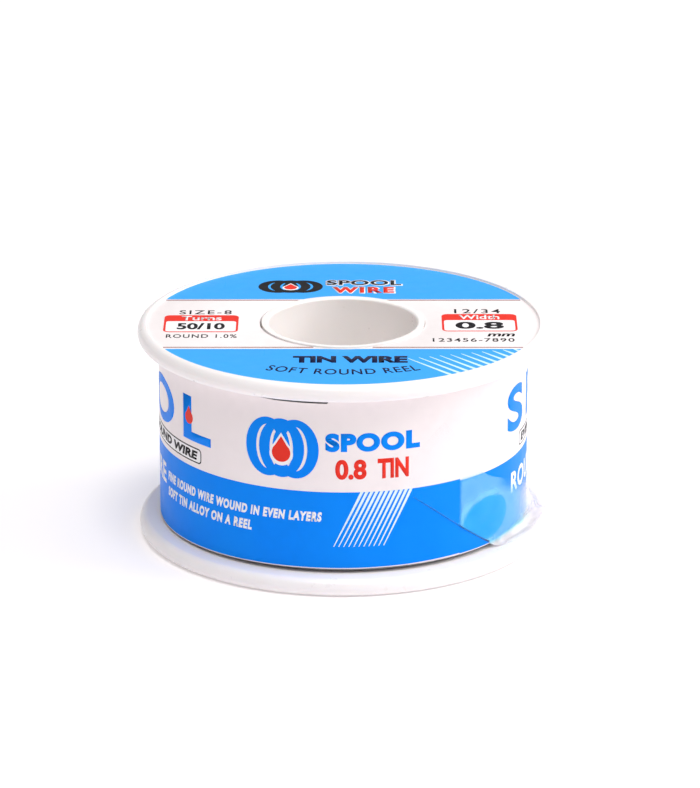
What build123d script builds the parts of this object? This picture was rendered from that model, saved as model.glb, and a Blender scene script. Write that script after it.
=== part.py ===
from build123d import *
from math import cos, pi, radians, sin
import os

os.makedirs("parts", exist_ok=True)

# A reel of solder wire, standing on its lower flange. Millimetres.
# Z is the reel's axis, z = 0 is the surface under it, and -Y is the front.
# Angles run anticlockwise round the axis from +X, as seen from above.

# Moulded reel
flange_diameter = 58.0
reel_height = 30.6
rim_thickness = 2.5
rim_edge_radius = 1.15
rim_width = 1.5
label_recess_depth = 0.4
bore_diameter = 21.0
tube_wall = 1.0
tube_end_inset = 0.1
tube_edge_radius = 0.3
drum_diameter = 33.6
drum_wall = 1.3
spigot_wall = 1.2
spigot_height = 2.0
rib_count = 6
rib_thickness = 1.2
rib_end_gap = 0.4
seat_clearance = 0.05

# Solder wire, wound in nested layers between the flanges
wire_diameter = 0.8
layer_count = 13
winding_clearance = 0.02

# Printed paper: a ring label on each flange and a band round the winding
paper_thickness = 0.12
ring_label_edge_gap = 0.1
ring_label_hole_gap = 0.2
band_clearance = 0.04
band_bottom_gap = 0.85
band_top_gap = 0.7
band_end_angle = -52.0
band_overlap_angle = 18.0

# Clear tape over the band's outer end, with its far end crumpled onto the lower flange
tape_thickness = 0.06
tape_width = 12.0
tape_length = 33.0
tape_clearance = 0.01
tape_facing_angle = -29.0
tape_slope = -35.0
tape_centre_height = 7.4
crumple_start_angle = -38.0
crumple_arc = 46.0
crumple_top = 7.0
crumple_foot_width = 0.5
crumple_rim_inset = 0.3

# Sizes that follow from them
flange_radius = flange_diameter / 2
recess_radius = flange_radius - rim_width
bore_radius = bore_diameter / 2
tube_radius = bore_radius + tube_wall
drum_radius = drum_diameter / 2
drum_inner_radius = drum_radius - drum_wall
flange_hole_radius = tube_radius + seat_clearance
spigot_radius = drum_inner_radius - seat_clearance
inner_width = reel_height - 2 * rim_thickness
layer_pitch = wire_diameter * cos(radians(30))
winding_inner_radius = drum_radius + winding_clearance
winding_outer_radius = winding_inner_radius + wire_diameter + (layer_count - 1) * layer_pitch
band_inner_radius = winding_outer_radius + band_clearance
band_outer_radius = band_inner_radius + paper_thickness
flap_outer_radius = band_outer_radius + paper_thickness
band_bottom = rim_thickness + band_bottom_gap
band_height = inner_width - band_bottom_gap - band_top_gap
tape_inner_radius = flap_outer_radius + tape_clearance
tape_outer_radius = tape_inner_radius + tape_thickness
middle_plane = Plane.XY.offset(reel_height / 2)

# Lower flange: a disc with a rounded rim, a shallow recess for its label and a spigot for the drum
with BuildPart() as lower_flange:
    with BuildSketch(Plane.XZ):
        with BuildLine():
            Polyline(
                (0, label_recess_depth),
                (recess_radius, label_recess_depth),
                (recess_radius, 0),
                (flange_radius, 0),
                (flange_radius, rim_thickness),
                (0, rim_thickness),
                close=True,
            )
        make_face()
    revolve(axis=Axis.Z)
    with BuildSketch(Plane.XY.offset(rim_thickness)):
        Circle(spigot_radius)
        Circle(spigot_radius - spigot_wall, mode=Mode.SUBTRACT)
    extrude(amount=spigot_height)
    # The tube's hole goes through the disc and through whatever of the spigot is in its way
    with BuildSketch():
        Circle(flange_hole_radius)
    extrude(amount=rim_thickness + spigot_height, mode=Mode.SUBTRACT)
    rim_edges = lower_flange.edges().filter_by(GeomType.CIRCLE).group_by(SortBy.RADIUS)[-1]
    fillet(rim_edges, rim_edge_radius)
lower_flange.part.label = "lower_flange"
export_step(lower_flange.part, "parts/lower_flange.step")

# Upper flange: the same moulding, turned over
with BuildPart() as upper_flange:
    add(lower_flange.part)
    mirror(about=middle_plane, mode=Mode.REPLACE)
upper_flange.part.label = "upper_flange"
export_step(upper_flange.part, "parts/upper_flange.step")

# Core: the bore tube and the winding drum, joined by ribs that stop short of the spigots
rib_start = rim_thickness + spigot_height + rib_end_gap
rib_height = reel_height - 2 * rib_start
rib_inner_radius = (bore_radius + tube_radius) / 2
rib_outer_radius = (drum_inner_radius + drum_radius) / 2
with BuildPart() as hub_core:
    with BuildSketch(Plane.XY.offset(tube_end_inset)):
        Circle(tube_radius)
        Circle(bore_radius, mode=Mode.SUBTRACT)
    extrude(amount=reel_height - 2 * tube_end_inset)
    lip_edges = hub_core.edges().filter_by(GeomType.CIRCLE).group_by(SortBy.RADIUS)[0]
    fillet(lip_edges, tube_edge_radius)
    with BuildSketch(Plane.XY.offset(rim_thickness)):
        Circle(drum_radius)
        Circle(drum_inner_radius, mode=Mode.SUBTRACT)
    extrude(amount=inner_width)
    with BuildSketch(Plane.XY.offset(rib_start)):
        with PolarLocations(rib_inner_radius, rib_count):
            Rectangle(
                rib_outer_radius - rib_inner_radius,
                rib_thickness,
                align=(Align.MIN, Align.CENTER),
            )
    extrude(amount=rib_height)
hub_core.part.label = "hub_core"
export_step(hub_core.part, "parts/hub_core.step")

# Winding: the closed outer shape of all the layers of wire
with BuildPart() as solder_winding:
    with BuildSketch(Plane.XY.offset(rim_thickness + winding_clearance)):
        Circle(winding_outer_radius)
        Circle(winding_inner_radius, mode=Mode.SUBTRACT)
    extrude(amount=inner_width - 2 * winding_clearance)
solder_winding.part.label = "solder_winding"
export_step(solder_winding.part, "parts/solder_winding.step")

# Ring labels: paper discs stuck in the flange recesses, with a hole round the end of the bore tube
with BuildPart() as lower_ring_label:
    with BuildSketch(Plane.XY.offset(label_recess_depth - paper_thickness)):
        Circle(recess_radius - ring_label_edge_gap)
        Circle(tube_radius + ring_label_hole_gap, mode=Mode.SUBTRACT)
    extrude(amount=paper_thickness)
lower_ring_label.part.label = "lower_ring_label"
export_step(lower_ring_label.part, "parts/lower_ring_label.step")

with BuildPart() as upper_ring_label:
    add(lower_ring_label.part)
    mirror(about=middle_plane, mode=Mode.REPLACE)
upper_ring_label.part.label = "upper_ring_label"
export_step(upper_ring_label.part, "parts/upper_ring_label.step")

# Wrap band: one turn of paper, whose outer end laps over its inner end
flap_start_angle = band_end_angle - band_overlap_angle
with BuildPart() as wrap_band:
    with BuildSketch(Plane.XY.offset(band_bottom)):
        Circle(band_outer_radius)
        with BuildLine():
            flap = CenterArc((0, 0), flap_outer_radius, flap_start_angle, band_overlap_angle)
            Line((0, 0), flap @ 0)
            Line(flap @ 1, (0, 0))
        make_face()
        Circle(band_inner_radius, mode=Mode.SUBTRACT)
    extrude(amount=band_height)
wrap_band.part.label = "wrap_band"
export_step(wrap_band.part, "parts/wrap_band.step")

# Closing tape: a slanting strip on the band, and a skirt where its loose end meets the flange
facing = radians(tape_facing_angle)
strip_plane = Plane(
    origin=(0, 0, tape_centre_height),
    x_dir=(-sin(facing), cos(facing), 0),
    z_dir=(cos(facing), sin(facing), 0),
)
crumple_start = radians(crumple_start_angle)
skirt_plane = Plane(
    origin=(0, 0, 0),
    x_dir=(cos(crumple_start), sin(crumple_start), 0),
    z_dir=(sin(crumple_start), -cos(crumple_start), 0),
)
skirt_foot = rim_thickness + seat_clearance
skirt_reach = flange_radius - crumple_rim_inset
with BuildPart() as closing_tape:
    with BuildSketch(Plane.XY.offset(band_bottom)):
        Circle(tape_outer_radius)
        Circle(tape_inner_radius, mode=Mode.SUBTRACT)
    extrude(amount=band_height)
    with BuildSketch(strip_plane):
        Rectangle(tape_length, tape_width, rotation=tape_slope)
    extrude(amount=flange_radius, mode=Mode.INTERSECT)
    with BuildSketch(skirt_plane):
        Polygon(
            (tape_inner_radius, crumple_top),
            (tape_inner_radius, crumple_top - 2 * tape_thickness),
            (skirt_reach - crumple_foot_width, skirt_foot),
            (skirt_reach, skirt_foot),
            (tape_outer_radius, crumple_top),
            align=None,
        )
    revolve(axis=Axis.Z, revolution_arc=crumple_arc)
closing_tape.part.label = "closing_tape"
export_step(closing_tape.part, "parts/closing_tape.step")

turns = int(inner_width / wire_diameter) * layer_count
wire_length = turns * pi * (winding_inner_radius + winding_outer_radius) / 1000
print(f"winding {2 * winding_outer_radius:.2f} mm across, about {wire_length:.0f} m of wire")
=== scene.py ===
"""Small reel of solder wire: two moulded flanges on a core, a wound wire, printed ring labels,
a printed paper band round the winding, and a strip of clear tape that closes the band."""

import math

import bmesh
import bpy
from mathutils import Matrix, Vector, noise


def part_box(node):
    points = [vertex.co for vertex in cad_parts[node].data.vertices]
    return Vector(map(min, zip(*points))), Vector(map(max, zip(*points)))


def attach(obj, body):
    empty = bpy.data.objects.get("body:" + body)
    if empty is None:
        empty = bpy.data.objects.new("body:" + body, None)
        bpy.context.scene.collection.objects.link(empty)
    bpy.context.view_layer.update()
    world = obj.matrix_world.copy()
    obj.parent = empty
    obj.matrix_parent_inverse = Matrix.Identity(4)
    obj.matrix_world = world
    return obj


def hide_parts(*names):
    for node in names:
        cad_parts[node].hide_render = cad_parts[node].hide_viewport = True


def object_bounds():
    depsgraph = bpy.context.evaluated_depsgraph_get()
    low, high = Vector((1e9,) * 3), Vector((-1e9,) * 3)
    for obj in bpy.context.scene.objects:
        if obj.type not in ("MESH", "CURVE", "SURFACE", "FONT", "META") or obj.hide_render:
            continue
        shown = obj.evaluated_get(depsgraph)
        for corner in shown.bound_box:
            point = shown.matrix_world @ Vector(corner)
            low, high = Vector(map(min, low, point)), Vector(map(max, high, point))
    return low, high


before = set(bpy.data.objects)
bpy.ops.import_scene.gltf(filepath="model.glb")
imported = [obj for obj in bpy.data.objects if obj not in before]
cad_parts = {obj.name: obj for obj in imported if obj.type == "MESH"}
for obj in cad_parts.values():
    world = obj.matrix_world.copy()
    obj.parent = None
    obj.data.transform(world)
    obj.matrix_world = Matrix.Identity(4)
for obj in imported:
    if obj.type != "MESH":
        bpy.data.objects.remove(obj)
cad_low, cad_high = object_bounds()
bpy.ops.object.select_all(action="DESELECT")

MM = 0.001
TURN = 192  # segments in a full circle

# Sizes read from the CAD parts in model.glb
FLANGE_RADIUS = cad_high.x
REEL_HEIGHT = cad_high.z
LABEL_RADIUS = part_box("upper_ring_label")[1].x
LABEL_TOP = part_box("upper_ring_label")[1].z
WIRE_LOW, WIRE_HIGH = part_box("solder_winding")[0].z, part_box("solder_winding")[1].z
WINDING_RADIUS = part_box("solder_winding")[1].x
BAND_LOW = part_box("wrap_band")[0].z

# Flange
RIM_THICKNESS = 2.5 * MM
RIM_ROUND = 1.15 * MM
PARTING_LINE = 0.03 * MM
RECESS_RADIUS = 27.7 * MM
RECESS_DEPTH = 0.4 * MM
HOLE_RADIUS = 11.64 * MM
HOLE_SHIFT = Vector((-0.08, 0.12)) * MM  # flange and label stand a little to one side of the core
SPIGOT_RADIUS = 15.45 * MM
SPIGOT_WALL = 1.2 * MM
SPIGOT_HEIGHT = 2.0 * MM

# Wire
WIRE = 0.8 * MM
WINDING_HOLE = 16.9 * MM

# Paper and print
PAPER = 0.10 * MM
PRINT_STEP = 0.01 * MM  # height of one layer of ink
LABEL_EDGE = LABEL_RADIUS + 0.16 * MM  # the paper reaches almost to the wall of its recess
LABEL_HOLE = 11.7 * MM
STRIP_FRONT, STRIP_BACK = 11.75 * MM, 10.6 * MM  # edges of the label's white strip
BAND_INNER = WINDING_RADIUS + 0.04 * MM
BAND_OUTER = BAND_INNER + PAPER
BAND_TOP = 27.62 * MM
LAP_DEGREES = -52  # where the band's outer end stops
LAP_ANGLE = math.radians(LAP_DEGREES)
LAP_ARC = math.radians(18)
LAP_EASE = math.radians(9)
LAP_RISE = 0.12 * MM
BLUE_TOP = 14.4 * MM
BAND_UNIT = BAND_OUTER  # radius that turns a length along the band into an angle


# ---------------------------------------------------------------- modelling helpers


def only(piece):
    """Selects one piece and makes it the active one."""
    bpy.ops.object.select_all(action="DESELECT")
    piece.select_set(True)
    bpy.context.view_layer.objects.active = piece


def edit(piece):
    """Opens a piece in edit mode with nothing selected."""
    only(piece)
    bpy.ops.object.mode_set(mode="EDIT")
    bpy.ops.mesh.select_all(action="DESELECT")


def done():
    """Leaves edit mode."""
    bpy.ops.object.mode_set(mode="OBJECT")


def pick_faces(piece, wanted):
    """Selects only the faces whose centre and normal pass the test."""
    shape = bmesh.from_edit_mesh(piece.data)
    bpy.ops.mesh.select_mode(type="FACE")
    bpy.ops.mesh.select_all(action="DESELECT")
    for face in shape.faces:
        if wanted(face.calc_center_median(), face.normal):
            face.select_set(True)
    bmesh.update_edit_mesh(piece.data)


def pick_edges(piece, wanted):
    """Selects only the edges whose two ends pass the test."""
    shape = bmesh.from_edit_mesh(piece.data)
    bpy.ops.mesh.select_mode(type="EDGE")
    bpy.ops.mesh.select_all(action="DESELECT")
    for edge in shape.edges:
        if wanted(*(v.co for v in edge.verts)):
            edge.select_set(True)
    bmesh.update_edit_mesh(piece.data)


def same_height(a, b):
    """Whether both ends of an edge stand at the same height."""
    return abs(a.z - b.z) < 1e-7


def round_axis(centre):
    """Whether a face is centred on the reel's axis."""
    return centre.xy.length < 1 * MM


def fix_normals(piece):
    """Merges doubles and points every face outwards."""
    edit(piece)
    bpy.ops.mesh.select_all(action="SELECT")
    bpy.ops.mesh.remove_doubles(threshold=1e-7)
    bpy.ops.mesh.normals_make_consistent(inside=False)
    done()


def settle(piece):
    """Puts the piece's place, turn and scale into its mesh."""
    only(piece)
    bpy.ops.object.transform_apply(location=True, rotation=True, scale=True)


def finish_piece(piece, name, finish, angle=30):
    """Names a piece, gives it its finish and hangs it on the reel."""
    piece.name = name
    piece.data.name = name
    settle(piece)
    if angle:
        bpy.ops.object.shade_smooth_by_angle(angle=math.radians(angle))
    piece.data.materials.clear()
    piece.data.materials.append(finish)
    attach(piece, "root")
    return piece


def joined(pieces):
    """Joins several pieces into the first."""
    bpy.ops.object.select_all(action="DESELECT")
    for piece in pieces:
        piece.select_set(True)
    bpy.context.view_layer.objects.active = pieces[0]
    bpy.ops.object.join()
    return pieces[0]


# ---------------------------------------------------------------- shader helpers


def new_group(name, inputs, outputs):
    """A shader group with these named number sockets."""
    group = bpy.data.node_groups.new(name, "ShaderNodeTree")
    for label, value in inputs.items():
        socket = group.interface.new_socket(label, in_out="INPUT", socket_type="NodeSocketFloat")
        socket.default_value = value
    for label in outputs:
        group.interface.new_socket(label, in_out="OUTPUT", socket_type="NodeSocketFloat")
    return group, group.nodes.new("NodeGroupInput"), group.nodes.new("NodeGroupOutput")


def calculate(tree, operation, first, second=None):
    """A Math node whose inputs are numbers or sockets."""
    node = tree.nodes.new("ShaderNodeMath")
    node.operation = operation
    for socket, value in zip(node.inputs, (first, second)):
        if isinstance(value, (int, float)):
            socket.default_value = value
        elif value is not None:
            tree.links.new(value, socket)
    return node.outputs[0]


def spread(tree, value, low, high, start=0.0, end=1.0):
    """A Map Range node that takes start..end to low..high."""
    node = tree.nodes.new("ShaderNodeMapRange")
    tree.links.new(value, node.inputs["Value"])
    node.inputs["From Min"].default_value = start
    node.inputs["From Max"].default_value = end
    node.inputs["To Min"].default_value = low
    node.inputs["To Max"].default_value = high
    return node.outputs["Result"]


def cloud(tree, size, detail=3.0, stretch=None):
    """Noise whose blobs are about size across, in Object coordinates."""
    place = tree.nodes.new("ShaderNodeTexCoord").outputs["Object"]
    if stretch:
        mapping = tree.nodes.new("ShaderNodeMapping")
        mapping.inputs["Rotation"].default_value = stretch[0]
        mapping.inputs["Scale"].default_value = stretch[1]
        tree.links.new(place, mapping.inputs["Vector"])
        place = mapping.outputs["Vector"]
    node = tree.nodes.new("ShaderNodeTexNoise")
    node.inputs["Scale"].default_value = 1.0 / size
    node.inputs["Detail"].default_value = detail
    tree.links.new(place, node.inputs["Vector"])
    return node.outputs["Fac"]


def paper_grain_group():
    """Fibres and soft clouding of coated paper."""
    group, entry, result = new_group("Paper grain", {"Strength": 1.0}, ["Height", "Tone"])
    fibres = cloud(group, 0.22 * MM, 5.0, ((0, 0, 0.4), (1, 1, 0.45)))
    waves = cloud(group, 4.5 * MM, 2.0)
    height = calculate(group, "ADD", calculate(group, "MULTIPLY", fibres, 0.35), waves)
    tone = spread(group, cloud(group, 1.6 * MM, 4.0), 0.965, 1.03, 0.3, 0.7)
    lift = calculate(group, "SUBTRACT", tone, 1.0)
    group.links.new(calculate(group, "MULTIPLY", height, entry.outputs["Strength"]), result.inputs["Height"])
    shade = calculate(group, "MULTIPLY", lift, entry.outputs["Strength"])
    group.links.new(calculate(group, "ADD", shade, 1.0), result.inputs["Tone"])
    return group


def scuffs_group():
    """Hairline handling marks in two directions: 1 on a scratch, 0 elsewhere."""
    group, entry, result = new_group("Handling scuffs", {"Amount": 0.5}, ["Mask"])
    lines = None
    for turn, scale in (((0.2, 0.1, 0.6), (1, 24, 6)), ((0.5, 0.7, 1.9), (22, 1, 5))):
        hair = spread(group, cloud(group, 6 * MM, 2.0, (turn, scale)), 0.0, 1.0, 0.66, 0.74)
        lines = hair if lines is None else calculate(group, "MAXIMUM", lines, hair)
    group.links.new(calculate(group, "MULTIPLY", lines, entry.outputs["Amount"]), result.inputs["Mask"])
    return group


def dust_group():
    """Sparse specks of dust and moulding flecks: 1 on a speck."""
    group, entry, result = new_group("Dust specks", {"Amount": 1.0}, ["Mask"])
    place = group.nodes.new("ShaderNodeTexCoord").outputs["Object"]
    cells = group.nodes.new("ShaderNodeTexVoronoi")
    cells.inputs["Scale"].default_value = 1.0 / (7.5 * MM)
    group.links.new(place, cells.inputs["Vector"])
    speck = spread(group, cells.outputs["Distance"], 1.0, 0.0, 0.012, 0.026)
    group.links.new(calculate(group, "MULTIPLY", speck, entry.outputs["Amount"]), result.inputs["Mask"])
    return group


PAPER_GRAIN = paper_grain_group()
SCUFFS = scuffs_group()
DUST = dust_group()


def use_group(tree, group, **values):
    """Places a shared group in a material with its own values."""
    node = tree.nodes.new("ShaderNodeGroup")
    node.node_tree = group
    for label, value in values.items():
        node.inputs[label].default_value = value
    return node


def new_material(name):
    """A new material with its node tree and its shader."""
    made = bpy.data.materials.new(name)
    made.use_nodes = True
    return made, made.node_tree, made.node_tree.nodes["Principled BSDF"]


def shaded(tree, colour, tone):
    """A colour multiplied by a tone that varies over the surface."""
    node = tree.nodes.new("ShaderNodeVectorMath")
    node.operation = "SCALE"
    node.inputs[0].default_value = colour
    tree.links.new(tone, node.inputs["Scale"])
    return node.outputs["Vector"]


def blended(tree, share, first, second):
    """Two colours mixed by a share that varies over the surface."""
    node = tree.nodes.new("ShaderNodeMix")
    node.data_type = "RGBA"
    tree.links.new(share, node.inputs["Factor"])
    for socket, value in ((node.inputs[6], first), (node.inputs[7], second)):
        if isinstance(value, tuple):
            socket.default_value = (*value, 1.0)
        else:
            tree.links.new(value, socket)
    return node.outputs[2]


def bumped(tree, shader, height, depth):
    """Raises a surface's shading by a height of 0 to 1 times depth."""
    bump = tree.nodes.new("ShaderNodeBump")
    bump.inputs["Distance"].default_value = depth
    bump.inputs["Strength"].default_value = 1.0
    tree.links.new(height, bump.inputs["Height"])
    tree.links.new(bump.outputs["Normal"], shader.inputs["Normal"])


def mesh_value(tree, name):
    """A value stored on the points of the mesh."""
    node = tree.nodes.new("ShaderNodeAttribute")
    node.attribute_name = name
    return node.outputs["Fac"]


def moulded_plastic(name, colour):
    """Gloss white polystyrene with faint flow clouds, a fine tool texture, scuffs and specks."""
    made, tree, shader = new_material(name)
    flow = spread(tree, cloud(tree, 9 * MM, 2.0, ((0, 0, 0.3), (1, 1, 2.5))), 0.99, 1.006, 0.3, 0.7)
    scuffs = use_group(tree, SCUFFS, Amount=0.35).outputs["Mask"]
    specks = use_group(tree, DUST, Amount=0.22).outputs["Mask"]
    tone = calculate(tree, "SUBTRACT", flow, calculate(tree, "MULTIPLY", scuffs, 0.008))
    clean = shaded(tree, colour, tone)
    tree.links.new(blended(tree, specks, clean, (0.42, 0.38, 0.36)), shader.inputs["Base Color"])
    rough = spread(tree, cloud(tree, 2.5 * MM, 4.0), 0.27, 0.35, 0.3, 0.7)
    worn = calculate(tree, "ADD", rough, calculate(tree, "MULTIPLY", scuffs, 0.12))
    tree.links.new(worn, shader.inputs["Roughness"])
    texture = calculate(tree, "ADD", cloud(tree, 0.35 * MM, 3.0), calculate(tree, "MULTIPLY", scuffs, -0.25))
    bumped(tree, shader, texture, 0.006 * MM)
    shader.inputs["Subsurface Weight"].default_value = 0.12
    shader.inputs["Subsurface Radius"].default_value = (1.0, 0.6, 0.45)
    shader.inputs["Subsurface Scale"].default_value = 0.8 * MM
    shader.inputs["IOR"].default_value = 1.49
    return made


def printed(name, colour, grain=0.6, rough=(0.3, 0.42), second=None, gloss=0.2):
    """Paper or ink on coated paper: clouded colour, fibres and a satin varnish."""
    made, tree, shader = new_material(name)
    paper = use_group(tree, PAPER_GRAIN, Strength=grain)
    tone = shaded(tree, colour, paper.outputs["Tone"])
    if second:
        patch = spread(tree, cloud(tree, 7 * MM, 2.0), 0.0, 1.0, 0.35, 0.68)
        tone = blended(tree, patch, tone, second)
    tree.links.new(tone, shader.inputs["Base Color"])
    scuffs = use_group(tree, SCUFFS, Amount=0.4).outputs["Mask"]
    varnish = spread(tree, cloud(tree, 3 * MM, 3.0), rough[0], rough[1], 0.3, 0.7)
    worn = calculate(tree, "ADD", varnish, calculate(tree, "MULTIPLY", scuffs, 0.2))
    tree.links.new(worn, shader.inputs["Roughness"])
    bumped(tree, shader, paper.outputs["Height"], 0.012 * MM)
    shader.inputs["IOR"].default_value = 1.45
    shader.inputs["Specular IOR Level"].default_value = gloss
    return made


def wire_metal():
    """Tin alloy wire: soft grey metal with dull oxide clouds and drawing lines."""
    made, tree, shader = new_material("Solder wire metal")
    clouds = cloud(tree, 1.8 * MM, 4.0)
    tree.links.new(blended(tree, clouds, (0.52, 0.52, 0.54), (0.36, 0.36, 0.38)), shader.inputs["Base Color"])
    tree.links.new(spread(tree, clouds, 0.28, 0.5, 0.3, 0.7), shader.inputs["Roughness"])
    bumped(tree, shader, cloud(tree, 0.12 * MM, 3.0, ((0, 0, 0), (1, 1, 6))), 0.01 * MM)
    shader.inputs["Metallic"].default_value = 1.0
    return made


def clear_film():
    """Clear tape: almost unseen where it wets the paper, milky where air lies under it."""
    made, tree, shader = new_material("Clear tape film")
    veil, rim, milk = (mesh_value(tree, label) for label in ("veil", "rim", "milk"))
    mist = spread(tree, cloud(tree, 2.4 * MM, 3.0), 0.82, 1.16, 0.3, 0.7)
    cover = calculate(tree, "MULTIPLY", veil, mist)
    # rim paints a dark blue line along the tape's lower cut edge and makes the film more opaque there:
    # painted shade
    edged = calculate(tree, "ADD", cover, calculate(tree, "MULTIPLY", rim, 0.17))
    tree.links.new(calculate(tree, "MINIMUM", edged, 1.0), shader.inputs["Alpha"])
    thin_milk = spread(tree, milk, 0.0, 1.0, 0.0, 0.5)
    thick_milk = spread(tree, milk, 0.0, 1.0, 0.5, 1.0)
    haze = blended(tree, thin_milk, (0.06, 0.80, 0.98), (0.30, 0.84, 0.98))
    film = blended(tree, thick_milk, haze, (0.97, 0.93, 0.95))
    tree.links.new(blended(tree, rim, film, (0.02, 0.06, 0.2)), shader.inputs["Base Color"])
    tree.links.new(spread(tree, cloud(tree, 2.2 * MM, 2.0), 0.1, 0.22, 0.3, 0.7), shader.inputs["Roughness"])
    bumped(tree, shader, cloud(tree, 1.6 * MM, 2.0), 0.02 * MM)
    shader.inputs["IOR"].default_value = 1.5
    return made


WHITE_PLASTIC = moulded_plastic("White moulded plastic", (0.955, 0.912, 0.91))
# The core's plastic is the flange plastic drawn lighter and warmer: painted bounce light that lifts the shade
# inside the bore
CORE_PLASTIC_PAINTED_LIGHTER = moulded_plastic("White core plastic painted lighter", (0.99, 0.945, 0.925))
LABEL_PAPER = printed("Label paper", (0.95, 0.885, 0.885), 0.5, gloss=0.35)
BAND_PAPER = printed("Band paper", (0.93, 0.855, 0.865), 0.6, (0.28, 0.4), (0.945, 0.87, 0.875), 0.35)
BLUE_INK = printed("Blue ink", (0.045, 0.395, 0.98), 0.7, gloss=0.15)
BAND_BLUE = printed("Band blue ink", (0.001, 0.245, 0.99), 0.7, (0.3, 0.42), (0.002, 0.262, 0.99), 0.07)
RED_INK = printed("Red ink", (0.83, 0.03, 0.015), 0.8)
RULE_RED = printed("Rule red ink", (0.24, 0.03, 0.04), 0.6)
BLACK_INK = printed("Black ink", (0.012, 0.011, 0.014), 0.8, gloss=0.12)
NAVY_INK = printed("Navy ink", (0.006, 0.010, 0.05), 0.8, gloss=0.12)
WHITE_INK = printed("White ink", (0.95, 0.93, 0.95), 0.5)
PALE_INK = printed("Pale cyan ink", (0.68, 0.92, 0.98), 0.6)
STRIPE_INK = printed("Stripe ink", (0.78, 0.92, 0.97), 0.5)
WIRE_METAL = wire_metal()
CLEAR_FILM = clear_film()


# ---------------------------------------------------------------- moulded flanges


def moulded_flange(name):
    """One flange, recess up, standing on the floor: a disc with a rounded rim, recess, spigot and hole."""
    body_radius = FLANGE_RADIUS - PARTING_LINE
    bpy.ops.mesh.primitive_cylinder_add(
        vertices=TURN, radius=body_radius, depth=RIM_THICKNESS, end_fill_type="NGON",
        location=(0, 0, RIM_THICKNESS / 2),
    )
    flange = bpy.context.object
    settle(flange)
    edit(flange)
    # The rim is rounded from both faces, and a thin parting line is left at its middle.
    pick_edges(flange, same_height)
    bpy.ops.mesh.bevel(offset=RIM_ROUND, segments=9, profile=0.5, affect="EDGES")
    middle = RIM_THICKNESS / 2
    pick_faces(flange, lambda c, n: abs(c.z - middle) < 1e-6 and abs(n.z) < 0.01)
    bpy.ops.transform.resize(value=(FLANGE_RADIUS / body_radius, FLANGE_RADIUS / body_radius, 1))
    # The recess for the ring label
    pick_faces(flange, lambda c, n: n.z > 0.99 and c.z > RIM_THICKNESS - 1e-6 and round_axis(c))
    bpy.ops.mesh.inset(thickness=body_radius - RIM_ROUND - RECESS_RADIUS, use_even_offset=True)
    bpy.ops.mesh.extrude_region_move(TRANSFORM_OT_translate={"value": (0, 0, -RECESS_DEPTH)})
    # The spigot on the winding side, a thin ring round the space between tube and drum
    floor_height = RIM_THICKNESS - RECESS_DEPTH
    pick_faces(flange, lambda c, n: n.z < -0.99 and c.z < 1e-6 and round_axis(c))
    bpy.ops.mesh.inset(thickness=body_radius - RIM_ROUND - SPIGOT_RADIUS, use_even_offset=True)
    bpy.ops.mesh.extrude_region_move(TRANSFORM_OT_translate={"value": (0, 0, -SPIGOT_HEIGHT)})
    spigot_inside = SPIGOT_RADIUS - SPIGOT_WALL
    bpy.ops.mesh.inset(thickness=SPIGOT_WALL, use_even_offset=True)
    bpy.ops.mesh.extrude_region_move(TRANSFORM_OT_translate={"value": (0, 0, SPIGOT_HEIGHT)})
    bpy.ops.mesh.inset(thickness=spigot_inside - HOLE_RADIUS, use_even_offset=True)
    pick_faces(flange, lambda c, n: n.z > 0.99 and abs(c.z - floor_height) < 1e-6 and round_axis(c))
    bpy.ops.mesh.inset(thickness=RECESS_RADIUS - HOLE_RADIUS, use_even_offset=True)
    # The hole, through both faces
    pick_faces(flange, lambda c, n: abs(n.z) > 0.99 and round_axis(c))
    bpy.ops.mesh.bridge_edge_loops()
    # Worn, slightly broken edges at the recess and at the hole
    edge_radii = (RECESS_RADIUS, HOLE_RADIUS, SPIGOT_RADIUS, spigot_inside)
    near = 0.05 * MM
    pick_edges(
        flange,
        lambda a, b: same_height(a, b)
        and any(abs(a.xy.length - r) < near and abs(b.xy.length - r) < near for r in edge_radii),
    )
    bpy.ops.mesh.bevel(offset=0.07 * MM, segments=3, profile=0.5, affect="EDGES")
    # The hole stands a little to one side of the core
    shape = bmesh.from_edit_mesh(flange.data)
    for vert in shape.verts:
        if vert.co.xy.length < HOLE_RADIUS + 0.2 * MM:
            vert.co.xy += HOLE_SHIFT
    bmesh.update_edit_mesh(flange.data)
    done()
    flange.name = name
    return flange


def add_flanges():
    """The two flanges, which are one moulding: the upper as made, the lower turned over."""
    upper = moulded_flange("upper_flange_moulding")
    upper.location.z = REEL_HEIGHT - RIM_THICKNESS
    settle(upper)
    fix_normals(upper)
    finish_piece(upper, "upper_flange_moulding", WHITE_PLASTIC)
    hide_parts("upper_flange")
    lower = moulded_flange("lower_flange_moulding")
    only(lower)
    bpy.ops.transform.mirror(constraint_axis=(False, False, True), center_override=(0, 0, 0))
    lower.location.z = RIM_THICKNESS
    settle(lower)
    fix_normals(lower)
    finish_piece(lower, "lower_flange_moulding", WHITE_PLASTIC)
    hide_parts("lower_flange")


# ---------------------------------------------------------------- wound wire


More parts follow.
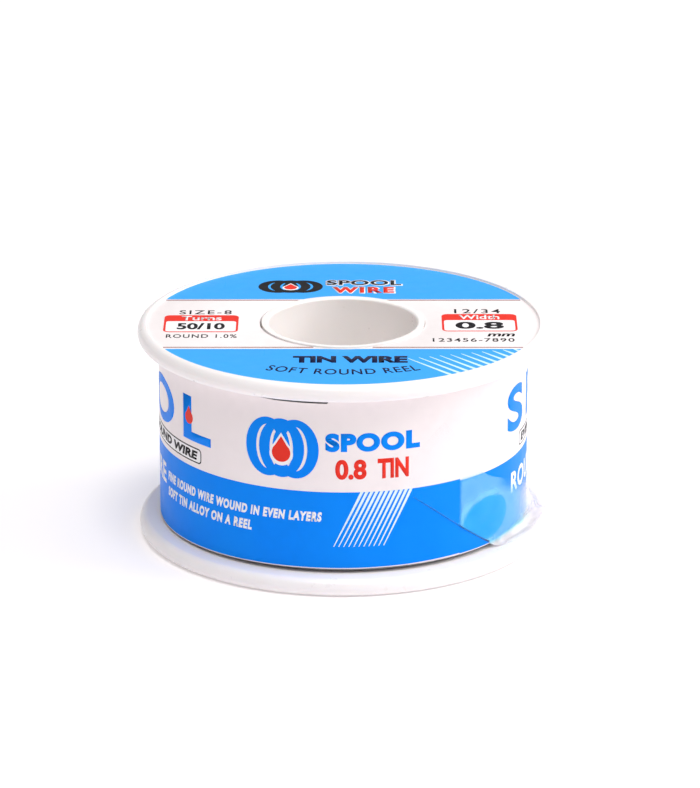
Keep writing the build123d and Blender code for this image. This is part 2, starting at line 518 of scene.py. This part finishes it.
def add_winding():
    """The outer layer of wire as one helix, over a plain core that stands for the layers beneath it."""
    wire_radius = WIRE / 2
    helix_radius = WINDING_RADIUS - wire_radius
    turns = int((WIRE_HIGH - WIRE_LOW) / WIRE)
    per_turn = 60
    pitch = (WIRE_HIGH - WIRE_LOW - WIRE) / (turns - 1)
    line = bpy.data.curves.new("wire_line", "CURVE")
    line.dimensions = "3D"
    spline = line.splines.new("POLY")
    count = (turns - 1) * per_turn + 1
    spline.points.add(count - 1)
    for i in range(count):
        angle = math.tau * i / per_turn
        height = WIRE_LOW + wire_radius + pitch * i / per_turn
        spline.points[i].co = (helix_radius * math.cos(angle), helix_radius * math.sin(angle), height, 1)
    line.bevel_depth = wire_radius
    line.bevel_resolution = 2
    line.use_fill_caps = True
    wire = bpy.data.objects.new("wire_line", line)
    bpy.context.scene.collection.objects.link(wire)
    only(wire)
    bpy.ops.object.convert(target="MESH")
    wire = bpy.context.object

    core_radius = helix_radius - wire_radius * 0.4
    bpy.ops.mesh.primitive_cylinder_add(
        vertices=TURN, radius=core_radius, depth=WIRE_HIGH - WIRE_LOW, end_fill_type="NGON",
        location=(0, 0, (WIRE_HIGH + WIRE_LOW) / 2),
    )
    core = bpy.context.object
    settle(core)
    edit(core)
    pick_faces(core, lambda c, n: abs(n.z) > 0.99)
    bpy.ops.mesh.inset(thickness=core_radius - WINDING_HOLE, use_even_offset=True, use_individual=True)
    bpy.ops.mesh.bridge_edge_loops()
    pick_edges(core, lambda a, b: same_height(a, b) and a.xy.length > core_radius - 0.1 * MM)
    bpy.ops.mesh.bevel(offset=0.3 * MM, segments=3, affect="EDGES")
    done()
    winding = joined([wire, core])
    fix_normals(winding)
    finish_piece(winding, "wound_solder_wire", WIRE_METAL, 60)
    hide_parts("solder_winding")


# ---------------------------------------------------------------- print


def lettering(words, width, height, weight=0.0, slant=0.0, spacing=1.0, layer=1):
    """Words as a thin layer of ink, centred on the origin, as wide and as high as asked."""
    bpy.ops.object.text_add(location=(0, 0, 0))
    text = bpy.context.object
    text.data.body = words
    text.data.offset = weight
    text.data.shear = slant
    text.data.space_character = spacing
    text.data.resolution_u = 8
    bpy.ops.object.convert(target="MESH")
    letters = bpy.context.object
    low = [min(v.co[k] for v in letters.data.vertices) for k in (0, 1)]
    high = [max(v.co[k] for v in letters.data.vertices) for k in (0, 1)]
    grow = (width / (high[0] - low[0]), height / (high[1] - low[1]))
    for vert in letters.data.vertices:
        for k in (0, 1):
            vert.co[k] = (vert.co[k] - (low[k] + high[k]) / 2) * grow[k]
    return inked(letters, layer)


def outline(points, layer=1):
    """A filled flat shape with these corners, as a thin layer of ink."""
    bpy.ops.mesh.primitive_circle_add(vertices=len(points), fill_type="NGON")
    shape = bpy.context.object
    for vert, point in zip(shape.data.vertices, points):
        vert.co = (point[0], point[1], 0)
    return inked(shape, layer)


def inked(shape, layer):
    """Gives a flat shape the thickness of ink that starts inside the paper and ends a layer above it."""
    edit(shape)
    bpy.ops.mesh.select_all(action="SELECT")
    bpy.ops.mesh.remove_doubles(threshold=1e-8)
    bpy.ops.mesh.normals_make_consistent(inside=False)
    shape_data = bmesh.from_edit_mesh(shape.data)
    if sum(face.normal.z for face in shape_data.faces) < 0:
        bpy.ops.mesh.flip_normals()
    top = (0, 0, PRINT_STEP * (layer + 1))
    bpy.ops.mesh.extrude_region_move(TRANSFORM_OT_translate={"value": top})
    done()
    for vert in shape.data.vertices:
        vert.co.z -= PRINT_STEP
    fix_normals(shape)
    return shape


def rounded_box(width, height, radius, layer=1):
    """A rounded rectangle of ink."""
    corners = []
    for quarter in range(4):
        turn = quarter * math.pi / 2
        cx = (width / 2 - radius) * (1 if quarter in (0, 3) else -1)
        cy = (height / 2 - radius) * (1 if quarter in (0, 1) else -1)
        for k in range(6):
            angle = turn + k * math.pi / 10
            corners.append((cx + radius * math.cos(angle), cy + radius * math.sin(angle)))
    return outline(corners, layer)


def shifted(shape, x, y, turn=0.0):
    """Moves a printed shape on its sheet."""
    shape.data.transform(Matrix.Translation((x, y, 0)) @ Matrix.Rotation(turn, 4, "Z"))
    return shape


class Sheet:
    """The ink shapes of one printed sheet, gathered by colour."""

    def __init__(self):
        self.inks = {}

    def add(self, colour, shape):
        self.inks.setdefault(colour, []).append(shape)

    def print_on(self, name, slot, place, step=None):
        """Joins each colour, lays it on its paper with place() and makes it a piece."""
        for colour, shapes in self.inks.items():
            ink = joined(shapes)
            if step:
                score_across(ink, step)
            for vert in ink.data.vertices:
                vert.co = place(vert.co)
            ink.data.update()
            label = colour.name.lower().replace(" ", "_")
            finish_piece(ink, f"{name}_{label}", colour, 0)


def score_across(shape, step):
    """Cuts a flat shape at even steps along X, so that it can be wrapped."""
    left = min(v.co.x for v in shape.data.vertices)
    right = max(v.co.x for v in shape.data.vertices)
    first = math.ceil(left / step)
    last = math.floor(right / step)
    flat = bmesh.new()
    flat.from_mesh(shape.data)
    for k in range(first, last + 1):
        bmesh.ops.bisect_plane(
            flat, geom=flat.verts[:] + flat.edges[:] + flat.faces[:], dist=1e-8,
            plane_co=(k * step, 0, 0), plane_no=(1, 0, 0),
        )
    flat.to_mesh(shape.data)
    flat.free()


def arched(shape, radius):
    """Bends words along the front of a circle, letter tops towards its centre."""
    for vert in shape.data.vertices:
        angle = -math.pi / 2 + vert.co.x / radius
        reach = radius - vert.co.y
        vert.co = (reach * math.cos(angle), reach * math.sin(angle), vert.co.z)
    shape.data.update()
    return shape


# ---------------------------------------------------------------- ring labels


def arc_points(radius, start, end, count):
    """Points along an arc about the origin."""
    angles = [start + (end - start) * k / count for k in range(count + 1)]
    return [(radius * math.cos(angle), radius * math.sin(angle)) for angle in angles]


def segment_points(edge, radius, front):
    """Corners of the part of a disc beyond a straight edge, kept clear of the label's hole."""
    half = math.acos(edge / radius)
    middle = -math.pi / 2 if front else math.pi / 2
    points = arc_points(radius, middle - half, middle + half, 72)
    clear = LABEL_HOLE + 0.2 * MM
    if edge < clear:
        notch = math.acos(edge / clear)
        points += arc_points(clear, middle + notch, middle - notch, 24)
    return points


def put_words(sheet, ink, words, x, y, width, height, weight, **style):
    """Words on a sheet, placed and sized in mm."""
    letters = lettering(words, width * MM, height * MM, weight, **style)
    sheet.add(ink, shifted(letters, x * MM, y * MM))


def value_box(sheet, x, y, width, height, header, figures, figure_height):
    """A red framed box with a white heading and black figures."""
    header_height = 0.36 * height
    line = 0.32 * MM
    sheet.add(RED_INK, shifted(rounded_box(width, height, 0.9 * MM), x, y))
    window = rounded_box(width - 2 * line, height - header_height - line, 0.5 * MM, 2)
    window_y = y - (header_height - line) / 2
    sheet.add(WHITE_INK, shifted(window, x, window_y))
    heading = lettering(header, 0.54 * width, 0.25 * height, 0.02, layer=3)
    sheet.add(WHITE_INK, shifted(heading, x, y + height / 2 - header_height / 2))
    number = lettering(figures, 0.64 * width, figure_height, 0.035, layer=3)
    sheet.add(BLACK_INK, shifted(number, x, window_y))


def ring_label_print():
    """The artwork of one ring label, flat and centred."""
    sheet = Sheet()
    edge = LABEL_EDGE - 0.08 * MM
    for front, strip, rule_gap in ((False, STRIP_BACK, 0.42 * MM), (True, STRIP_FRONT, 0.72 * MM)):
        sheet.add(BLUE_INK, outline(segment_points(strip, edge, front)))
        side = -1 if front else 1
        line_y = side * (strip - rule_gap)
        inner = math.sqrt(LABEL_HOLE**2 - line_y**2) + 0.2 * MM
        outer = math.sqrt(edge**2 - line_y**2) - 0.2 * MM
        for way in (-1, 1):
            rule = rounded_box(outer - inner, 0.3 * MM, 0.1 * MM)
            sheet.add(RULE_RED, shifted(rule, way * (outer + inner) / 2, line_y))

    # Left of the hole
    put_words(sheet, BLACK_INK, "SIZE-8", -19.5, 4.6, 7.4, 1.8, 0.012, spacing=1.25)
    value_box(sheet, -20.0 * MM, -0.55 * MM, 10.5 * MM, 7.6 * MM, "Turns", "50/10", 2.8 * MM)
    put_words(sheet, BLACK_INK, "ROUND 1.0%", -19.8, -6.1, 9.9, 1.6, 0.012, spacing=1.2)

    # Right of the hole
    put_words(sheet, BLACK_INK, "12/34", 19.0, 5.1, 6.5, 1.9, 0.012, spacing=1.25)
    value_box(sheet, 19.2 * MM, -0.1 * MM, 10.6 * MM, 7.8 * MM, "Width", "0.8", 3.1 * MM)
    put_words(sheet, BLACK_INK, "mm", 22.1, -5.6, 3.9, 1.3, 0.03, slant=0.2)
    put_words(sheet, BLACK_INK, "123456-7890", 18.2, -7.8, 11.4, 1.6, 0.012, spacing=1.2)

    # Back: coil mark and words
    coil_mark(sheet, -7.6 * MM, 16.5 * MM, 9.3 * MM, 5.8 * MM, BLACK_INK, WHITE_INK)
    halo = 0.5
    put_words(sheet, WHITE_INK, "SPOOL", 3.0, 18.3, 10.7 + halo, 2.2 + halo, 0.075, spacing=1.1, layer=2)
    put_words(sheet, BLACK_INK, "SPOOL", 3.0, 18.3, 10.7, 2.2, 0.03, spacing=1.1, layer=3)
    put_words(sheet, WHITE_INK, "WIRE", 2.9, 14.9, 8.8 + halo, 2.7 + halo, 0.09, spacing=1.25, layer=2)
    put_words(sheet, RED_INK, "WIRE", 2.9, 14.9, 8.8, 2.7, 0.05, spacing=1.25, layer=3)

    # Front: words, words on a wide arc, and pale rays
    put_words(sheet, NAVY_INK, "TIN WIRE", 1.0, -16.3, 15.8, 2.9, 0.055, layer=2)
    bow, bow_middle = 30 * MM, 21.6 * MM
    bowed = arched(lettering("SOFT ROUND REEL", 21.0 * MM, 2.3 * MM, 0.014, spacing=1.15, layer=2), bow)
    sheet.add(NAVY_INK, shifted(bowed, 0, bow - bow_middle))
    rays = 11
    for k in range(rays):
        share = k / (rays - 1)
        start = Vector((9.0 + 14.6 * share, -15.9 + 4.2 * share)) * MM
        heading = Vector((0.64, -0.77))
        along = start.dot(heading)
        reach = -along + math.sqrt(along**2 + (edge - 0.1 * MM) ** 2 - start.length_squared)
        side = Vector((-heading.y, heading.x))
        end = start + heading * reach
        thick, thin = 0.29 * MM, 0.06 * MM
        corners = [start - side * thin, end - side * thick, end + side * thick, start + side * thin]
        sheet.add(PALE_INK, outline([(c.x, c.y) for c in corners], 2))
    return sheet


def coil_mark(sheet, x, y, width, height, colour, halo):
    """A plain picture of a coil: three rings side by side with a red drop in the middle."""
    ring_width = 0.62 * width
    for k in (-1, 0, 1):
        shift = k * (width - ring_width) / 2
        ring = oval_ring(ring_width, height, 0.15 * width, 2 + 0.3 * k)
        sheet.add(colour, shifted(ring, x + shift, y))
    sheet.add(halo, shifted(drop_shape(0.56 * height, 3), x, y - 0.02 * height))
    sheet.add(RED_INK, shifted(drop_shape(0.44 * height, 4), x, y - 0.02 * height))


def oval_ring(width, height, thickness, layer):
    """An oval ring of ink, thicker at its sides."""
    count = 48
    points = [(math.cos(math.tau * k / count), math.sin(math.tau * k / count)) for k in range(count)]
    bpy.ops.mesh.primitive_circle_add(vertices=count, fill_type="NOTHING")
    ring = bpy.context.object
    for vert, (c, s) in zip(ring.data.vertices, points):
        vert.co = (c * width / 2, s * height / 2, 0)
    edit(ring)
    bpy.ops.mesh.select_all(action="SELECT")
    bpy.ops.mesh.extrude_edges_move(TRANSFORM_OT_translate={"value": (0, 0, 0)})
    inner = (1 - 2 * thickness / width, 1 - 1.3 * thickness / height, 1)
    bpy.ops.transform.resize(value=inner, center_override=(0, 0, 0))
    done()
    edit(ring)
    bpy.ops.mesh.select_all(action="SELECT")
    bpy.ops.mesh.normals_make_consistent(inside=False)
    done()
    return inked(ring, layer)


def drop_shape(height, layer):
    """A round drop with a pointed top."""
    radius = 0.36 * height
    points = []
    for k in range(25):
        angle = math.radians(-230 + 280 * k / 24)
        points.append((radius * math.cos(angle), radius * math.sin(angle) - 0.14 * height))
    points.append((0, 0.5 * height))
    return outline(points, layer)


def paper_ring():
    """A flat paper ring with its printed side up at the origin."""
    bpy.ops.mesh.primitive_cylinder_add(
        vertices=TURN, radius=LABEL_EDGE, depth=PAPER, end_fill_type="NGON", location=(0, 0, -PAPER / 2),
    )
    ring = bpy.context.object
    settle(ring)
    edit(ring)
    pick_faces(ring, lambda c, n: abs(n.z) > 0.99)
    bpy.ops.mesh.inset(thickness=LABEL_EDGE - LABEL_HOLE, use_even_offset=True, use_individual=True)
    bpy.ops.mesh.bridge_edge_loops()
    pick_edges(ring, lambda a, b: same_height(a, b) and min(a.z, b.z) > -1e-7)
    bpy.ops.mesh.bevel(offset=0.02 * MM, segments=2, affect="EDGES")
    done()
    for vert in ring.data.vertices:
        if vert.co.xy.length < LABEL_HOLE + 0.1 * MM:
            vert.co.xy += HOLE_SHIFT
    return ring


def add_ring_label(name, node, face_up):
    """Lays a printed ring label in its recess, facing up or down."""
    top = LABEL_TOP - 2 * PRINT_STEP if face_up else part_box(node)[0].z + 2 * PRINT_STEP
    turn = 1 if face_up else -1

    def place(point):
        return Vector((point.x, point.y * turn, top + point.z * turn))

    ring = paper_ring()
    for vert in ring.data.vertices:
        vert.co = place(vert.co)
    fix_normals(ring)
    finish_piece(ring, f"{name}_paper", LABEL_PAPER)
    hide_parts(node)
    ring_label_print().print_on(name, "ring_label_paper", place)


add_flanges()
add_winding()
add_ring_label("upper_label", "upper_ring_label", True)
add_ring_label("lower_label", "lower_ring_label", False)
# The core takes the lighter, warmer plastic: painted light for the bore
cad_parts["hub_core"].data.materials[0] = CORE_PLASTIC_PAINTED_LIGHTER


# ---------------------------------------------------------------- wrap band


def eased(value):
    """A smooth step from 0 to 1."""
    value = min(max(value, 0.0), 1.0)
    return value * value * (3 - 2 * value)


def ramp(value, start, length):
    """A smooth step that leaves 0 at start and reaches 1 after length."""
    return eased((value - start) / length)


def band_rise(turned):
    """How far the band stands off its base circle, by the angle turned back from its outer end."""
    return LAP_RISE * (1 - ramp(turned, LAP_ARC, LAP_EASE))


def band_drift(turned):
    """How far the band has slipped down, as its first turn was wound a little low."""
    return 0.3 * MM * ramp(turned, math.radians(200), math.radians(150))


def band_ripple(angle, height):
    """Slight unevenness of paper over wire."""
    spot = Vector((math.cos(angle) * 3.2, math.sin(angle) * 3.2, height * 90))
    return 0.018 * MM * noise.noise(spot)


def band_point(turned, height, out):
    """A point of the band: angle turned back from the outer end, height, and distance above its face."""
    angle = LAP_ANGLE - turned
    radius = BAND_OUTER + band_rise(turned) + band_ripple(angle, height) + out
    return Vector((radius * math.cos(angle), radius * math.sin(angle), height - band_drift(turned)))


def across(angle_degrees):
    """Where an angle on the reel lies along the flat band, whose zero is the front."""
    return math.radians(angle_degrees + 90) * BAND_UNIT


def band_place(point):
    """Wraps a point of the flat artwork on to the band."""
    angle = -math.pi / 2 + point.x / BAND_UNIT
    return band_point((LAP_ANGLE - angle) % math.tau, point.y, point.z)


def band_bottom(turned):
    """Height of the band's lower edge before it drifts: it hangs lowest at the left."""
    start, full, back = (math.radians(a) for a in (38, 75, 150))
    hang = ramp(turned, start, full) * (1 - ramp(turned, back, full))
    return BAND_LOW - (0.16 * ramp(turned, 0, start) + 0.35 * hang) * MM + band_drift(turned)


def band_top(turned):
    """Height of the band's upper edge before it drifts, with a shallow dip that starts abruptly."""
    start, fade, stop = (math.radians(a) for a in (42.6, 56, 78))
    dip = 0.45 * MM * (1 - ramp(turned, fade, stop - fade))
    return BAND_TOP - (dip if turned >= start - 0.004 else 0.0)


def blue_bottom(turned):
    """Lower edge of the blue field, just above the paper's."""
    return band_bottom(turned) + 0.13 * MM


def blue_top(turned):
    """Upper edge of the blue field, level all the way round."""
    return BLUE_TOP


def wrapped_strip(arc, low, high, out, thickness, columns, rows):
    """A sheet bent round the winding, from its outer end back through arc."""
    bpy.ops.mesh.primitive_grid_add(x_subdivisions=columns, y_subdivisions=rows, size=1)
    strip = bpy.context.object
    for vert in strip.data.vertices:
        turned = arc[1] + (arc[0] - arc[1]) * (vert.co.x + 0.5)
        share = vert.co.y + 0.5
        bottom, top = low(turned), high(turned)
        vert.co = band_point(turned, bottom + (top - bottom) * share, out)
    strip.data.update()
    only(strip)
    wall = strip.modifiers.new("Wall", "SOLIDIFY")
    wall.thickness = thickness
    wall.offset = -1
    bpy.ops.object.modifier_apply(modifier="Wall")
    return strip


def band_artwork():
    """All the words and shapes on the band, laid out flat."""
    sheet = Sheet()
    coil_mark(sheet, across(-108.9), 20.4 * MM, 10.6 * MM, 8.5 * MM, BAND_BLUE, WHITE_INK)

    # Front: name, size and two lines of words
    name = lettering("SPOOL", 13.2 * MM, 2.7 * MM, 0.065, spacing=1.14)
    sheet.add(BAND_BLUE, shifted(name, across(-80.8), 21.6 * MM))
    sheet.add(RED_INK, shifted(lettering("0.8", 4.3 * MM, 2.9 * MM, 0.042), across(-87.6), 17.7 * MM))
    sheet.add(RED_INK, shifted(lettering("TIN", 4.4 * MM, 2.9 * MM, 0.045), across(-74.7), 17.7 * MM))
    first = lettering("FINE ROUND WIRE WOUND IN EVEN LAYERS", 29.0 * MM, 1.42 * MM, 0.055, 0.2, 1.2, 2)
    sheet.add(WHITE_INK, shifted(first, across(-128.2), 10.75 * MM))
    second = lettering("SOFT TIN ALLOY ON A REEL", 18.8 * MM, 1.47 * MM, 0.055, 0.2, 1.2, 2)
    sheet.add(WHITE_INK, shifted(second, across(-139.5), 8.45 * MM))

    # White stripes that taper down to the left
    stripes, pitch = 11, 0.69 * MM
    for k in range(stripes):
        left = across(-84.7) + k * pitch
        top, drop, lean = BLUE_TOP + 0.05 * MM, 8.0 * MM, -3.75 * MM
        corners = [
            (left, top), (left + lean, top - drop), (left + lean + 0.13 * MM, top - drop),
            (left + 0.64 * pitch, top),
        ]
        sheet.add(STRIPE_INK, outline(corners, 2))

    # The big name and its boxed words, twice round the back
    for start in (-28.7, 115.6):
        wide = math.radians(110) * BAND_UNIT
        big = lettering("SPOOL", wide, 6.6 * MM, 0.03, spacing=1.3)
        sheet.add(BAND_BLUE, shifted(big, across(start) + wide / 2, 21.4 * MM))
        drop = shifted(drop_shape(2.6 * MM, 2), across(start + 99.5), 21.8 * MM)
        sheet.add(RED_INK, drop)
        box_wide = math.radians(96) * BAND_UNIT
        box_middle = across(start + 9.6) + box_wide / 2
        sheet.add(BLACK_INK, shifted(rounded_box(box_wide, 2.2 * MM, 0.6 * MM), box_middle, 16.25 * MM))
        inside = rounded_box(box_wide - 0.36 * MM, 1.84 * MM, 0.45 * MM, 2)
        sheet.add(WHITE_INK, shifted(inside, box_middle, 16.25 * MM))
        boxed = lettering("EVEN WOUND SOFT ROUND WIRE", box_wide - 1.6 * MM, 1.3 * MM, 0.05, 0.15, 1.05, 3)
        sheet.add(BLACK_INK, shifted(boxed, box_middle, 16.25 * MM))
        line_wide = math.radians(79) * BAND_UNIT
        line = lettering("ROUND TIN WIRE", line_wide, 3.1 * MM, 0.03, spacing=1.1, layer=2)
        sheet.add(WHITE_INK, shifted(line, across(start + 3) + line_wide / 2, 10.6 * MM))
    return sheet


def add_band():
    """The paper band, its blue field and everything printed on it."""
    paper = wrapped_strip((0, math.tau + LAP_ARC), band_bottom, band_top, 0, PAPER, 504, 14)
    fix_normals(paper)
    finish_piece(paper, "band_paper", BAND_PAPER, 40)
    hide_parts("wrap_band")
    # The blue field, and the same ink over the cut edge at the band's outer end
    field_arc = (0, math.tau - 0.001)
    field = wrapped_strip(field_arc, blue_bottom, blue_top, PRINT_STEP, 2 * PRINT_STEP, 480, 8)
    cut_arc = (-math.radians(0.03), 0)
    cut = wrapped_strip(cut_arc, blue_bottom, blue_top, PRINT_STEP, PAPER + PRINT_STEP, 1, 8)
    blue = joined([field, cut])
    fix_normals(blue)
    finish_piece(blue, "band_blue_field", BAND_BLUE, 40)
    band_artwork().print_on("band", "band_paper", band_place, 0.8 * MM)


add_band()


# ---------------------------------------------------------------- closing tape

TAPE_LIFT = 0.05 * MM
FILM = 0.05 * MM
FOLD_HEIGHT = BAND_LOW + 0.1 * MM  # the film turns outwards over the band's lower edge here
FOLD_REACH = 2.6 * MM  # most that it stands out there
REST_HEIGHT = RIM_THICKNESS + 0.06 * MM  # lowest level of the film on the lower flange

# Edges of the tape on the flat band: angle in degrees and height in mm. Heights below the band's
# edge are lengths that have folded out on to the flange.
TAPE_LOWER = (
    (-68.3, 13.0), (-59.4, 9.9), (-50.5, 6.9), (-38.2, 3.3), (-28, 1.6), (-17, 0.9), (-6, 0.9), (5, 1.6),
)
TAPE_UPPER = (
    (-58.0, 23.3), (-50, 19.0), (-41.8, 14.2), (-29.1, 11.6), (-18, 10.0), (-9, 9.0), (-1, 8.4), (7, 7.8),
)
# The oval where the film wets the paper: angle in degrees, the rest in mm
PATCH_ANGLE, PATCH_HEIGHT = -39.9, 7.25
PATCH_HALF_WIDTH, PATCH_HALF_HEIGHT = 4.95, 3.15


def along_edge(points, share):
    """A smooth curve through the points of an edge."""
    spans = len(points) - 1
    k = min(int(share * spans), spans - 1)
    t = share * spans - k
    before, start, end, after = (points[min(max(i, 0), spans)] for i in (k - 1, k, k + 1, k + 2))
    return tuple(
        0.5 * (2 * s + (e - b) * t + (2 * b - 5 * s + 4 * e - a) * t**2 + (3 * s - 3 * e + a - b) * t**3)
        for b, s, e, a in zip(before, start, end, after)
    )


def creases(x, y):
    """Irregular folds of crumpled film, from 0 to 1: a few broad facets that meet in ridges."""
    bend = noise.noise(Vector((x * 0.22, y * 0.22, 3)))
    a = 1 - abs(math.sin(0.52 * x + 0.33 * y + 0.4 + 1.4 * bend))
    b = 1 - abs(math.sin(0.36 * x - 0.62 * y + 1.9 + bend))
    c = 0.5 + 0.5 * noise.noise(Vector((x * 0.55, y * 0.55, 8)))
    return (a + 0.8 * b + 0.6 * c) / 2.4


def film_point(angle, height):
    """Where a point of the tape lies, from its angle in degrees and its unrolled height in mm."""
    turned = (LAP_ANGLE - math.radians(angle)) % math.tau
    radius = BAND_OUTER + band_rise(turned) + TAPE_LIFT
    # The film bridges the step at the band's outer end.
    if angle > LAP_DEGREES:
        radius += LAP_RISE * (1 - ramp(angle, LAP_DEGREES, 6.5))
    along = math.radians(angle) * BAND_UNIT / MM
    fold = creases(along, height)
    loose = ramp(angle, -27, 30) * (1 - 0.92 * ramp(height, 3.2, 4))
    stand = loose * (0.4 + 2.3 * fold) * MM
    level = height * MM
    over = FOLD_HEIGHT - height * MM
    if over > 0:
        reach = min(over, FOLD_REACH)
        stand = max(stand * (1 - 0.5 * reach / FOLD_REACH), 0) + reach
        drop = math.exp(-over / (0.28 * MM))
        crumple = (0.25 + 0.9 * loose) * fold * MM * (1 - drop)
        level = REST_HEIGHT + (FOLD_HEIGHT - REST_HEIGHT) * drop + crumple
    else:
        level += loose * 0.5 * (fold - 0.5) * MM
    radius = min(radius + stand, FLANGE_RADIUS - FILM - 0.03 * MM)
    spot = math.radians(angle)
    return Vector((radius * math.cos(spot), radius * math.sin(spot), max(level, REST_HEIGHT)))


def film_look(angle, height, from_edge):
    """Cover and milkiness of the tape at a point: it is clearest where it wets the paper."""
    across_patch = (math.radians(angle - PATCH_ANGLE) * BAND_UNIT / MM) / PATCH_HALF_WIDTH
    up_patch = (height - PATCH_HEIGHT) / PATCH_HALF_HEIGHT
    patch = math.hypot(across_patch, up_patch)
    past_step = ramp(angle, LAP_DEGREES - 0.6, 1.5)
    air = past_step * ramp(patch, 0.93, 0.12)
    on_blue = 1 - ramp(height, 13.6, 1.2)
    crescent = math.exp(-(((patch - 1.13) / 0.16) ** 2)) * (1 - ramp(across_patch, 0.2, 0.8))
    veil = 0.012 + past_step * on_blue * (0.17 + 0.10 * air + 0.13 * crescent)
    milk = 0.5 * air
    crumple = ramp(angle, -26, 20)
    fold = creases(math.radians(angle) * BAND_UNIT / MM, height)
    veil += crumple * (0.04 + 0.26 * fold)
    milk += 0.5 * crumple
    low = 1 - ramp(height, FOLD_HEIGHT / MM - 0.3, 0.6)
    veil += 0.25 * low
    milk = max(milk, low)
    # A painted highlight: a bright white glint along the film's fold, low on the band, drawn as opaque milky
    # film
    painted_fold_glint = ramp(angle, -36, 4) * (1 - ramp(angle, -13, 5)) * math.exp(-(((height - 3.2) / 0.45) ** 2))
    veil = min(veil + 0.6 * painted_fold_glint, 0.95)
    # The crumpled end thins out to nothing at its free edges.
    veil *= 1 - ramp(angle, -38, 10) * (1 - ramp(from_edge, 0, 0.26))
    return veil, min(max(milk, painted_fold_glint), 1.0)


def add_tape():
    """The strip of clear tape, with the values that its finish reads."""
    columns, rows = 120, 48
    bpy.ops.mesh.primitive_grid_add(x_subdivisions=columns, y_subdivisions=rows, size=1)
    film = bpy.context.object
    veil = film.data.attributes.new("veil", "FLOAT", "POINT")
    milk = film.data.attributes.new("milk", "FLOAT", "POINT")
    rim = film.data.attributes.new("rim", "FLOAT", "POINT")
    border = 0.012  # width of the cut edge's row, as a share of the tape
    for vert in film.data.vertices:
        along, over = vert.co.x + 0.5, vert.co.y + 0.5
        row = round(over * rows)
        over = 0.0 if row == 0 else border + (row - 1) / (rows - 1) * (1 - border)
        lower, upper = along_edge(TAPE_LOWER, along), along_edge(TAPE_UPPER, along)
        angle = lower[0] + (upper[0] - lower[0]) * over
        height = lower[1] + (upper[1] - lower[1]) * over
        # The tape's upper end is bowed outwards by up to 5.5 degrees.
        angle -= 5.5 * 4 * over * (1 - over) * (1 - ramp(along, 0, 0.12))
        look = film_look(angle, height, min(over, 1 - over, 1 - along))
        veil.data[vert.index].value, milk.data[vert.index].value = look
        # rim marks the lower cut edge of the tape's left part, where the finish paints a dark line of shade
        rim.data[vert.index].value = 1.0 if row <= 1 and angle < -38.5 else 0.0
        vert.co = film_point(angle, height)
    film.data.update()
    only(film)
    wall = film.modifiers.new("Wall", "SOLIDIFY")
    wall.thickness = FILM
    wall.offset = 1
    bpy.ops.object.modifier_apply(modifier="Wall")
    fix_normals(film)
    finish_piece(film, "clear_closing_tape", CLEAR_FILM, 50)
    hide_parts("closing_tape")


add_tape()


# ---------------------------------------------------------------- floor, lights and camera


def add_stage():
    """Plain white floor and three soft boxes: a wide one overhead, one above the front, one at the right."""
    bpy.ops.mesh.primitive_plane_add(size=8)
    floor = bpy.context.object
    floor.name = "floor"
    made, tree, shader = new_material("Floor white")
    mottle = spread(tree, cloud(tree, 0.3, 2.0), 0.985, 1.0, 0.3, 0.7)
    tree.links.new(shaded(tree, (0.90, 0.868, 0.875), mottle), shader.inputs["Base Color"])
    shader.inputs["Roughness"].default_value = 0.9
    shader.inputs["Specular IOR Level"].default_value = 0.1
    shader.inputs["Emission Color"].default_value = (1.0, 0.99, 1.0, 1.0)
    shader.inputs["Emission Strength"].default_value = 0.2
    floor.data.materials.append(made)

    world = bpy.data.worlds.new("Studio")
    bpy.context.scene.world = world
    world.use_nodes = True
    backdrop = world.node_tree.nodes["Background"]
    backdrop.inputs["Color"].default_value = (1.0, 0.99, 1.0, 1.0)
    backdrop.inputs["Strength"].default_value = 0.29

    def soft_box(name, place, size, power, colour=(1, 1, 1)):
        bpy.ops.object.light_add(type="AREA", location=place)
        lamp = bpy.context.object
        lamp.name = name
        lamp.data.shape = "RECTANGLE"
        lamp.data.size, lamp.data.size_y = size
        lamp.data.energy = power
        lamp.data.color = colour
        lamp.rotation_euler = (Vector((0, 0, 0.015)) - lamp.location).to_track_quat("-Z", "Y").to_euler()
        lamp.visible_camera = False
        return lamp

    soft_box("overhead_box", (0.25, 0.0, 1.0), (1.8, 1.8), 7.6)
    soft_box("top_box", (0.05, -0.3, 0.96), (0.45, 0.45), 3.7)
    soft_box("right_box", (0.66, -0.03, 0.41), (0.5, 0.5), 3.1, (1.0, 0.98, 0.965))


def add_camera():
    """A long lens that looks down on the reel from the front."""
    elevation = math.radians(19.09)
    distance = 24 * LABEL_RADIUS
    right = Vector((1, 0, 0))
    up = Vector((0, math.sin(elevation), math.cos(elevation)))
    back = Vector((0, -math.cos(elevation), math.sin(elevation)))
    # Where the label's centre stands in the view, in label radii from the middle
    label_right, label_up = -0.0353, 0.3687
    aim = Vector((0, 0, LABEL_TOP)) - (right * label_right + up * label_up) * LABEL_RADIUS
    bpy.ops.object.camera_add(location=aim + back * distance, rotation=(math.pi / 2 - elevation, 0, 0))
    camera = bpy.context.object
    camera.name = "camera"
    camera.data.sensor_fit = "HORIZONTAL"
    camera.data.sensor_width = 36
    camera.data.lens = 240
    camera.data.clip_start = 0.05
    bpy.context.scene.camera = camera


add_stage()
add_camera()
bpy.context.scene.view_settings.view_transform = "Standard"
